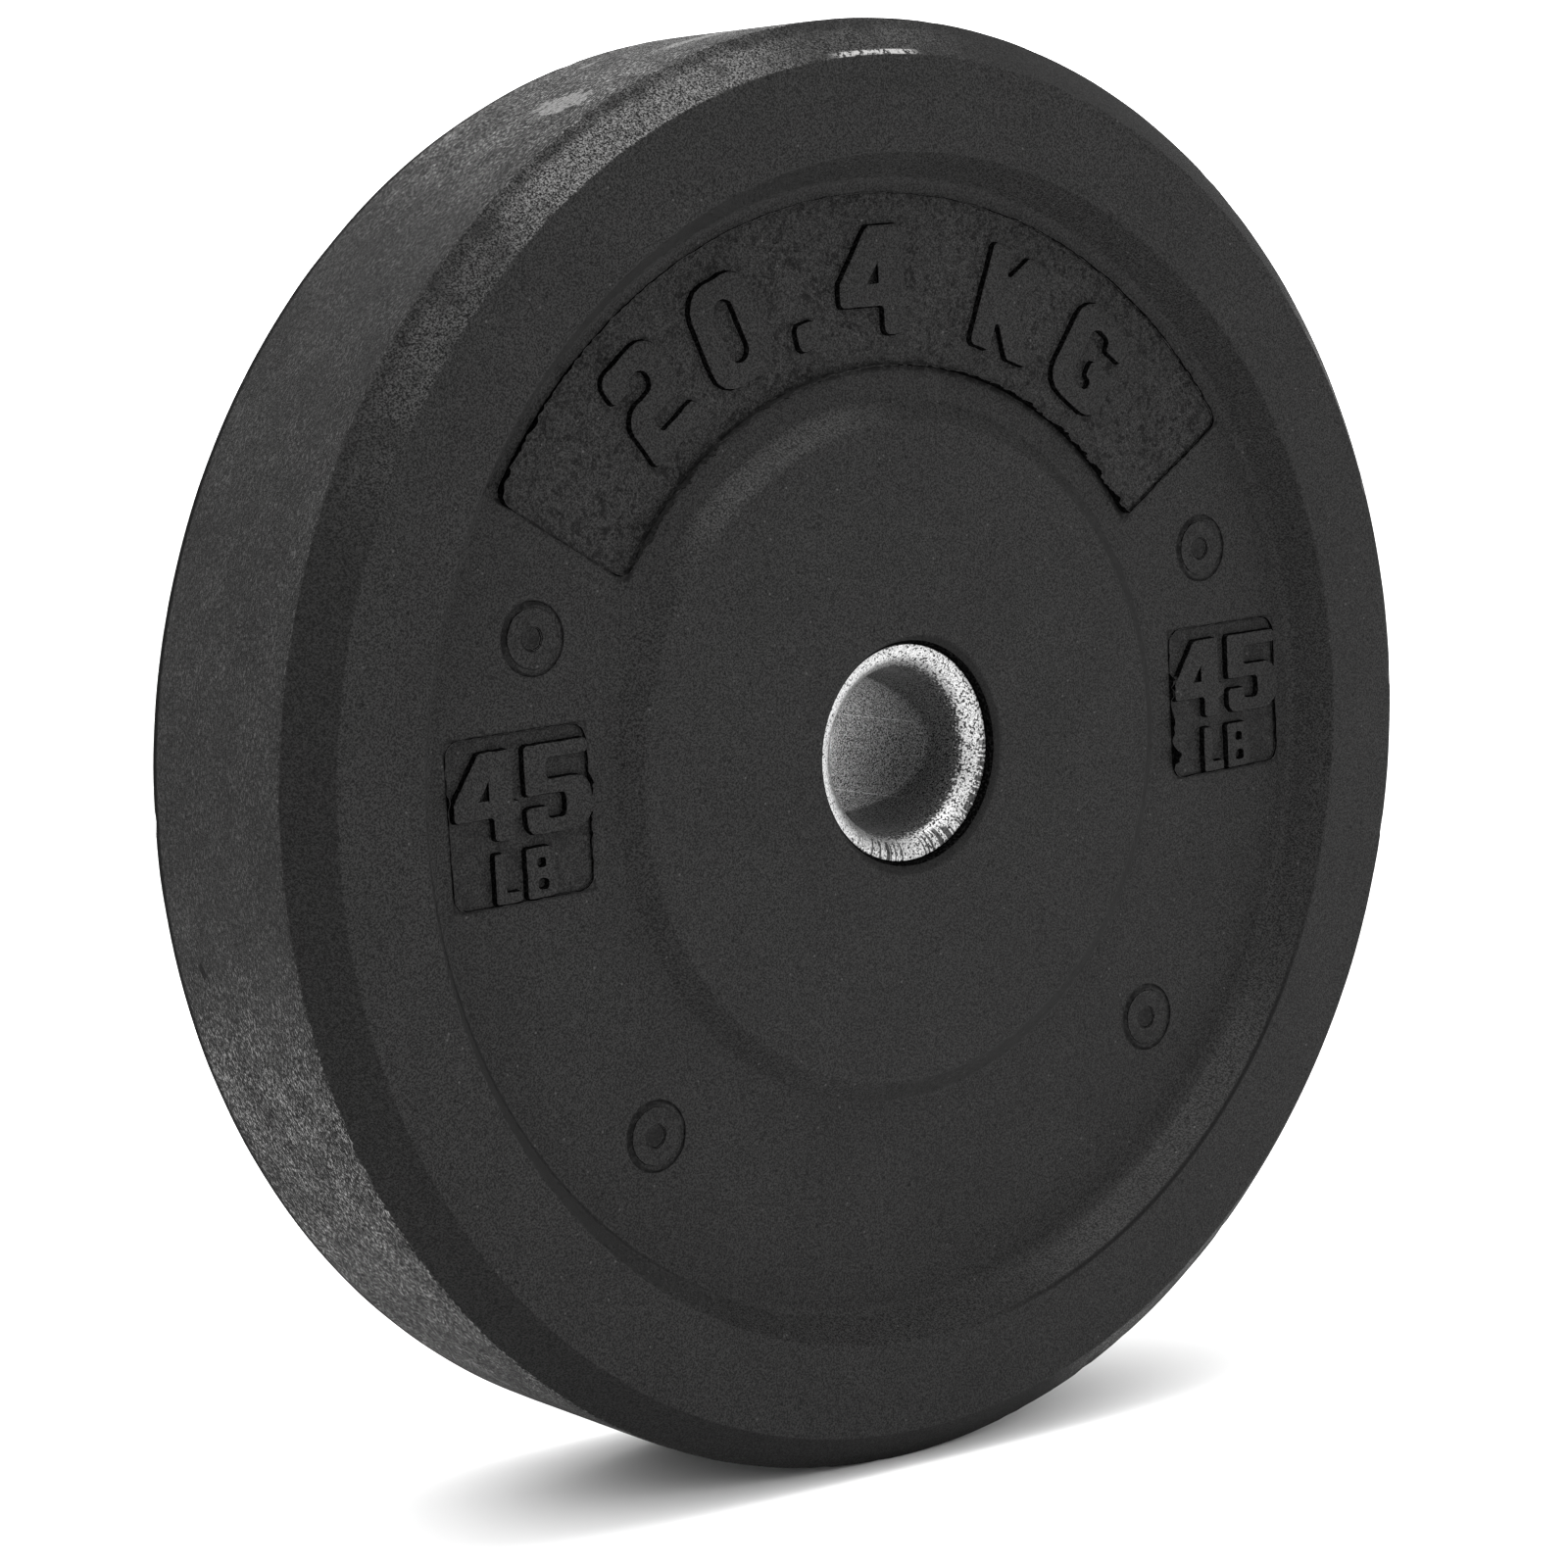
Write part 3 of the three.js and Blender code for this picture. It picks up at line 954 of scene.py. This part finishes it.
def face_level(g):
    """The face: even dark skin with grain and a few pale flecks, a painted sheen on its slopes in places,
    and painted shade lines where the dish's slope meets the rim face and the web.
    """
    level = g.times(g.spread(g.fine, 0.35, 1.8), FACE_GREY)
    level = g.times(level, g.spread(g.grain, 0.92, 1.08), g.between(g.cloud, 0.3, 0.7, 0.95, 1.05))
    fleck = g.times(g.between(g.crumb_own, 0.988, 0.990), g.fall(g.crumb, 0.15, 0.35), 0.5)
    level = g.blend(fleck, level, FLECK_GREY)
    boss = (BOSS_TOP_RADIUS - 2, BOSS_TOP_RADIUS + 1, BOSS_FOOT_RADIUS - 2, BOSS_FOOT_RADIUS + 1)
    dish = (RECESS_FOOT_RADIUS + 0.8, RECESS_FOOT_RADIUS + 2, RIM_INNER_RADIUS - 1, RIM_INNER_RADIUS + 0.5)
    # Painted sheen: the boss's slope made paler mostly at the upper left, the dish's slope mostly at the
    # lower right
    boss_sheen = g.times(g.band(*boss), stretches(g, BOSS_SHEEN, BOSS_FOOT_RADIUS))
    dish_sheen = g.times(g.band(*dish), stretches(g, RECESS_SHEEN, RIM_INNER_RADIUS))
    sheen = g.times(g.plus(boss_sheen, dish_sheen), g.spread(g.dust, 0.6, 1.8))
    level = g.times(level, g.plus(1, sheen))
    # Painted shade: dark lines at the dish's creases, on the lower right at the rim and on the lower left
    # at the web
    rim_shade = g.near(g.minus(g.ragged_radius, RIM_INNER_RADIUS + 0.2), 0.4, 0.9)
    foot_shade = g.near(g.minus(g.ragged_radius, RECESS_FOOT_RADIUS), 0.2, 0.7)
    level = g.blend(g.times(rim_shade, stretches(g, RIM_SHADE_LINES, RIM_INNER_RADIUS)), level, PIT_GREY)
    return g.blend(g.times(foot_shade, stretches(g, FOOT_SHADE_LINES, RECESS_FOOT_RADIUS)), level, PIT_GREY)


def pitted(g, level):
    """Pits between the crumbs: rare on the skin, many on the long panel, most along its outer border."""
    many = g.times(g.open_crumb, g.between(g.patches, 0.4, 0.6, 0.02, 0.14))
    share = g.plus(0.022, many, g.times(g.border, 0.25))
    pit = g.times(g.fall(g.minus(g.crumb_own, share), -0.01, 0.01), g.fall(g.crumb, 0.2, 0.5), 0.8)
    floor = g.blend(g.hollow, g.spread(g.grain, 0.95, 1.3), 0.36)
    level = g.times(level, g.blend(g.open_crumb, 1, floor))
    level = g.times(level, g.blend(g.square, 1, g.between(g.lumps, 0.36, 0.56, 0.7, 1)))
    return g.blend(pit, level, PIT_GREY)


def stud_shade(g):
    """Painted shade in the rings and dots of the stud marks, most of it on their left."""
    shares = []
    for angle in STUD_ANGLES:
        turned = angle + FACE_TURN
        middle = (STUD_RADIUS * math.cos(turned), 0, STUD_RADIUS * math.sin(turned))
        off = g.scaled(g.vector("SUBTRACT", g.place, middle), (1, 0, 1))
        away = g.length(off)
        left = g.dot(off, (-0.09, 0, 0.03))
        inner = g.between(left, -0.5, 0.9, STUD_OUTER - 0.6, STUD_OUTER - 2.4)
        rim = g.fall(away, STUD_OUTER - 0.1, STUD_OUTER + 0.5)
        ring = g.times(g.between(g.minus(away, inner), -0.2, 0.3), rim)
        low_left = g.between(g.dot(off, (-0.25, 0, -0.15)), 0.1, 0.6)
        arc = g.times(g.near(g.minus(away, STUD_DOT), 0.2, 0.7), low_left)
        dot = g.fall(away, STUD_DOT - 1.2, STUD_DOT - 0.2, 0.7)
        blotch = g.times(g.fall(away, STUD_OUTER - 1.5, STUD_OUTER, 0.5), g.fall(g.lumps, 0.4, 0.5))
        shares += [ring, arc, dot, blotch]
    broken = g.times(g.between(g.grain, 0.38, 0.5, 0.5, 1), g.between(g.lumps, 0.4, 0.52, 0.6, 1))
    return g.times(g.most(*shares), broken)


def shaded_seams(g, level):
    """Painted shade along the seams where the panels meet the web, dark and broken, and the stud marks'
    painted shade.
    """
    inner = g.times(g.near(g.plus(g.from_inner, 0.3), 0.4, 2, 0.9), g.between(g.from_end, -0.5, 0.5))
    end = g.times(g.near(g.from_end, 0.2, 1, 0.9), g.between(g.from_inner, -0.5, 0.5))
    end = g.times(end, g.between(g.from_outer, -0.5, 0.5))
    square = g.near(g.in_square, 0.2, 0.8, 0.7)
    seam_shade = g.times(g.most(inner, end, square), g.between(g.lumps, 0.42, 0.56, 0.35, 1))
    seam_shade = g.most(seam_shade, g.times(stud_shade(g), 0.95))
    seam_shade = g.times(seam_shade, g.fall(g.depth, WEB_HALF + 0.4, WEB_HALF + 1))
    return g.blend(seam_shade, level, PIT_GREY)


# A painted glint: a pale, broken line along the front bevel's inner edge near the top
def lip_glint(g):
    along, outwards = turned_place(g, LIP_GLINT_ANGLE)
    lip = g.near(g.minus(g.radius, BEVEL_RADIUS + 0.8), 0.5, 1)
    lip = g.times(lip, g.near(along, 0.6 * LIP_GLINT_HALF, LIP_GLINT_HALF))
    return g.times(lip, g.between(outwards, 0, 10), g.fall(g.y, -1, 0), g.between(g.grain, 0.42, 0.5))


def bevel_level(g):
    """The bevel: skin, and pale specks where it is rubbed off and where painted glints catch the light,
    fewest along its outer edge, and a painted glint along its inner edge near the top.
    """
    lumpy_radius = g.plus(g.radius, g.times(g.minus(g.lumps, 0.5), 2))
    band = g.between(lumpy_radius, PLATE_RADIUS - 4.5, PLATE_RADIUS - 2, 1, 0.5)
    bare_glints = g.times(g.spread(g.fine, 0.1, 2.3), g.spread(g.dust, 0.7, 1.3))
    bare_glints = g.times(bare_glints, band, g.between(g.patches, 0.36, 0.5, 0.5, 1.05))
    skin = g.times(g.spread(g.fine, 0.5, 1.5), g.spread(g.grain, 0.88, 1.12))
    level = g.times(BEVEL_GREY, g.blend(g.rubbed, skin, g.times(bare_glints, BARE_GLINT_GAIN)))
    level = g.times(level, g.blend(g.crack, 1, 0.6))
    return g.blend(lip_glint(g), level, LIP_GLINT_GREY)


def tread_level(g):
    """The tread: buffed, with bright and dark fibres where it is roughened, and scuffed; painted shade
    darkens it along its back edge.
    """
    buffed = g.times(g.spread(g.dust, 0.45, 1.6), g.spread(g.fibres, 0.88, 1.12))
    fibrous = g.times(g.between(g.fibres, 0.4, 0.62, 0.12, 1.8), g.spread(g.dust, 0.35, 1.7))
    fibrous = g.plus(fibrous, g.between(g.fibres, 0.58, 0.68, 0, 4))
    fibrous = g.times(fibrous, g.between(g.patches, 0.38, 0.62, 0.75, 1.25))
    level = g.times(TREAD_GREY, g.blend(g.raw, buffed, fibrous))
    level = g.times(level, g.plus(1, g.times(g.worn_tread, 0.75)))
    level = g.times(level, g.between(g.cloud, 0.3, 0.7, 0.9, 1.1))
    scuffs = [g.times(tread_spot(g, *place), strength) for *place, strength in TREAD_SCUFFS]
    scuff = g.times(g.most(*scuffs), g.between(g.fibres, 0.38, 0.52, 0.3, 1))
    level = g.blend(scuff, level, SCUFF_GREY)
    level = g.blend(tread_spot(g, *TREAD_GOUGE), level, GOUGE_GREY)
    # Painted shade: the tread turns near black along its back edge, where it rounds into the bevel
    return g.times(level, g.between(g.y, TREAD_HALF - 3.2, TREAD_HALF - 1.8, 1, 0.06))


def steel_shade(g, level):
    """Painted shade round the steel: black in the gap between rubber and steel, and a soft painted shadow
    beside it, widest on the right.
    """
    way = g.vector("NORMALIZE", g.off_axis)
    shade_width = g.between(g.dot(way, (0.9, 0, -0.3)), -0.7, 0.3, 1.6, 4.6)
    beside = g.math("DIVIDE", g.minus(g.ragged_radius, HOLE_RADIUS), shade_width)
    level = g.times(level, g.between(beside, 0.6, 1, 0.4, 1))
    return g.blend(g.fall(g.ragged_radius, HOLE_RADIUS + 0.6, HOLE_RADIUS + 1), level, PIT_GREY)


def rubber_material():
    g = rubber_graph()
    level = shaded_seams(g, pitted(g, face_level(g)))
    level = g.blend(g.bevel, level, bevel_level(g))
    level = g.blend(g.tread, level, tread_level(g))
    g.put("Base Color", g.grey(steel_shade(g, level), 0.01))
    g.put("Roughness", g.blend(g.outside, g.between(g.fine, 0.3, 0.7, 0.5, 0.68), 0.85))
    g.put("Specular IOR Level", RUBBER_SPECULAR)

    # Relief: fine grain everywhere, coarser on the open crumb, the rubbed bevel and the tread
    coarse = g.most(g.times(g.rubbed, g.bevel), g.open_crumb, g.times(g.tread, g.raw, 1.4))
    height = g.times(g.fine, g.plus(g.times(coarse, 0.5), 0.4))
    height = g.plus(height, g.times(g.grain, coarse, 0.8))
    height = g.minus(height, g.times(g.hollow, g.open_crumb, 0.8))
    height = g.minus(height, g.times(g.crack, g.bevel, 1.5))
    return g.bumped(height, 0.25)


def torn_shaded_material():
    """The torn, steep sides of figures and flash, and the rubber deep in the gap round the steel: painted
    near black as shade, and open.
    """
    g = Finish("torn_shaded_rubber")
    fine = g.noise(g.place, 0.7, 2, 0.6)
    g.put("Base Color", g.grey(g.between(fine, 0.45, 0.7, 0.0008, 0.008)))
    g.put("Roughness", 1)
    g.put("Specular IOR Level", 0)
    return g.bumped(fine, 0.3)


# Two long scratches in the bore, as angles round it
BORE_SCRATCHES = (15.2, -42.7)
# The slanted edge of the painted light deep in the bore: its place along the axis, and its fall across the
# bore
LIT_PATCH_EDGE = 23.5
LIT_PATCH_SLANT = 41.5


def end_level(g, way, fine, spots, marks):
    """The steel's ends: near white and marked, with dark pits, most of them on the right."""
    to_right = g.times(g.dot(way, (0.9, 0, -0.2)), 0.045)
    pits = g.fall(g.minus(spots, to_right), 0.36, 0.43)
    level = g.blend(pits, g.between(fine, 0.36, 0.58, 0.4, 1.1), 0.08)
    return pits, g.blend(g.times(marks, 0.9), level, 0.05)


def chatter_marks(g, way, spots):
    """Dark marks of the lathe's chatter, low on the right."""
    chatter = g.noise(g.scaled(way, (SLEEVE_RADIUS, 0, SLEEVE_RADIUS)), 1.1, 1, 0.5)
    reach = g.between(g.dot(way, (0, 0, -1)), 0.75, 0.95, 1.6, 6.5)
    zone = g.between(g.plus(g.radius, 1 - SLEEVE_RADIUS, reach, spots), 0, 0.6)
    zone = g.times(zone, g.between(g.absolute(g.y), SLEEVE_HALF - 3, SLEEVE_HALF - 2))
    low_right = g.between(g.dot(way, (0.55, 0, -0.83)), 0.25, 0.6)
    return g.times(zone, low_right, g.fall(chatter, 0.42, 0.47))


def bore_level(g, fine, spots):
    """The bore's wall: painted shade near its mouth, painted paler deep inside where light falls in
    through the far mouth, grained, and with long scratches.
    """
    edge = g.minus(LIT_PATCH_EDGE, g.times(g.split(g.place)[0], LIT_PATCH_SLANT / BORE_RADIUS))
    # Painted light: deep inside, the wall is paler, and paler still towards the far mouth
    deep = g.between(g.minus(g.y, edge), -3, 3)
    level = g.blend(deep, 0.12, g.between(g.y, -20, 28, 0.24, 0.5))
    level = g.times(level, g.between(fine, 0.38, 0.62, 0.1, 2.3))
    scratches = []
    for degrees in BORE_SCRATCHES:
        along, outwards = turned_place(g, degrees)
        scratches.append(g.times(g.near(along, 0.06, 0.22), g.between(outwards, 0, 1)))
    scratched = g.times(g.most(*scratches), g.between(g.y, -20, 10), g.between(spots, 0.4, 0.5))
    return g.blend(scratched, level, 1.3)


def steel_material():
    g = Finish("turned_steel")
    fine = g.noise(g.place, 0.5, 2, 0.7)
    spots = g.noise(g.place, 0.75, 1, 0.5)
    way = g.vector("NORMALIZE", g.off_axis)
    marks = chatter_marks(g, way, spots)
    pits, level = end_level(g, way, fine, spots, marks)
    uneven_radius = g.plus(g.radius, g.times(g.minus(spots, 0.5), 5))
    bore = g.fall(uneven_radius, BORE_RADIUS + 1.6, BORE_RADIUS + 2.3)
    level = g.blend(bore, level, bore_level(g, fine, spots))
    g.put("Base Color", g.grey(g.times(level, STEEL_GREY)))
    g.put("Metallic", 1)
    g.put("Roughness", g.blend(bore, g.between(fine, 0.3, 0.7, 0.34, 0.52), 0.8))
    height = g.plus(g.times(fine, 0.5), g.times(pits, -0.6), g.times(marks, -1))
    return g.bumped(height, 0.15)


def hidden_steel(name, dark, light, size):
    """Plain steel for the pieces inside the rubber."""
    g = Finish(name)
    scale = g.noise(g.place, size, 4, 0.6)
    g.put("Base Color", g.grey(g.between(scale, 0.3, 0.7, dark, light), 0.03))
    g.put("Metallic", 1)
    g.put("Roughness", g.between(scale, 0.25, 0.75, 0.45, 0.7))
    return g.bumped(scale, 0.1)


def paint(obj, *materials):
    """Gives the object its materials, and its faces the first of them."""
    obj.data.materials.clear()
    for material in materials:
        obj.data.materials.append(material)
    obj.data.polygons.foreach_set("material_index", [0] * len(obj.data.polygons))


def is_torn_or_shaded(face):
    """Whether a face gets the near-black painted shade: a steep side on the web, but not one facing up by
    the long panel's inner edge where light falls on it, or a face deep in the gap round the steel.
    """
    normal = face.normal
    x, y, z = face.center / MM
    radius = math.hypot(x, z)
    if radius < HOLE_RADIUS + 0.9:
        return abs(y) > SLEEVE_HALF - 6 and abs(normal.y) < 0.88
    on_web = BOSS_FOOT_RADIUS + 2.5 < radius < RECESS_FOOT_RADIUS - 3.2
    lit = radius < ARC_INNER_RADIUS + 2 and normal.z > 0.3
    return on_web and abs(normal.y) < 0.55 and not lit


# The studio

CAMERA_PLACE = Vector((-748.65, -899.64, 110.96)) * MM
CAMERA_AZIMUTH = math.radians(-39.044)
CAMERA_ELEVATION = math.radians(6.032)
PICTURE_SIDE = 1600
FOCAL_PIXELS = 3763.85

# Soft glows of the studio's walls and ceiling: the way to each, and its strength
GLOWS = [
    ((0, -0.98, 0.17), 1), ((0.7, -0.7, 0.17), 1.29), ((0.7, 0.7, 0.17), 2.83),
    ((-1, 0, 0.17), 1), ((0, -0.64, 0.77), 0.88), ((-0.56, -0.32, 0.77), 1.5),
    ((-0.56, 0.32, 0.77), 0.45), ((0.56, 0.32, 0.77), 0.53), ((0, 0.64, 0.77), 1.58),
    ((0, 0, 1), 2.23),
]
GLOW_POWER = 6

# The lamp above, in metres and watts
LAMP_PLACE = Vector((-0.05, -0.1, 1.7))
LAMP_SIDE = 0.8
LAMP_POWER = 15.6


def make_camera():
    data = bpy.data.cameras.new("camera")
    data.sensor_width = 36
    data.lens = FOCAL_PIXELS / PICTURE_SIDE * data.sensor_width
    camera = placed("camera", data)
    camera.rotation_euler = (math.pi / 2 - CAMERA_ELEVATION, 0, CAMERA_AZIMUTH)
    camera.location = CAMERA_PLACE
    bpy.context.scene.camera = camera


def make_floor():
    bm = bmesh.new()
    bmesh.ops.create_grid(bm, x_segments=12, y_segments=12, size=12)
    floor = finished("floor", bm)
    floor.location.z = -PLATE_RADIUS * MM
    g = Finish("pale_floor")
    cloud = g.noise(g.place, 400, 2, 0.5)
    g.put("Base Color", g.grey(g.between(cloud, 0.3, 0.7, 0.9, 0.92)))
    g.put("Roughness", 0.9)
    g.put("Specular IOR Level", 0.1)
    paint(floor, g.material)


def make_lamp():
    data = bpy.data.lights.new("overhead", "AREA")
    data.size = LAMP_SIDE
    data.energy = LAMP_POWER
    lamp = placed("overhead", data)
    lamp.location = LAMP_PLACE
    lamp.rotation_euler = LAMP_PLACE.to_track_quat("Z", "Y").to_euler()


def make_light():
    """The glow of the room, which the camera itself sees as plain white."""
    world = bpy.data.worlds.new("studio")
    world.use_nodes = True
    background = world.node_tree.nodes["Background"]
    g = Graph(world.node_tree)
    way = g.node("TexCoord").outputs["Generated"]
    total = 0
    for direction, strength in GLOWS:
        glow = g.math("POWER", g.most(g.dot(way, direction), 0), GLOW_POWER)
        total = g.math("MULTIPLY_ADD", glow, strength, total)
    seen = g.node("LightPath").outputs["Is Camera Ray"]
    g.feed(background.inputs["Strength"], g.most(total, seen))
    background.inputs["Color"].default_value = (1, 1, 1, 1)
    bpy.context.scene.world = world
    make_lamp()
    bpy.context.scene.view_settings.view_transform = "Standard"


# Assembly

def main():
    rubber = make_rubber()
    paint(rubber, rubber_material(), torn_shaded_material())
    # Steep sides and the gap round the steel get the torn material, painted near black as shade
    for face in rubber.data.polygons:
        face.material_index = int(is_torn_or_shaded(face))
    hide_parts("rubber_body")
    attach(rubber, BODY)
    sleeve = make_sleeve()
    paint(sleeve, steel_material())
    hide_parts("centre_sleeve")
    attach(sleeve, BODY)
    paint(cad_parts["anchor_disc"], hidden_steel("rolled_steel", 0.22, 0.42, 3))
    welded = hidden_steel("weld_metal", 0.18, 0.36, 1.2)
    for side in ("front", "back"):
        paint(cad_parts[f"weld_fillet_{side}"], welded)
    make_camera()
    make_floor()
    make_light()


main()
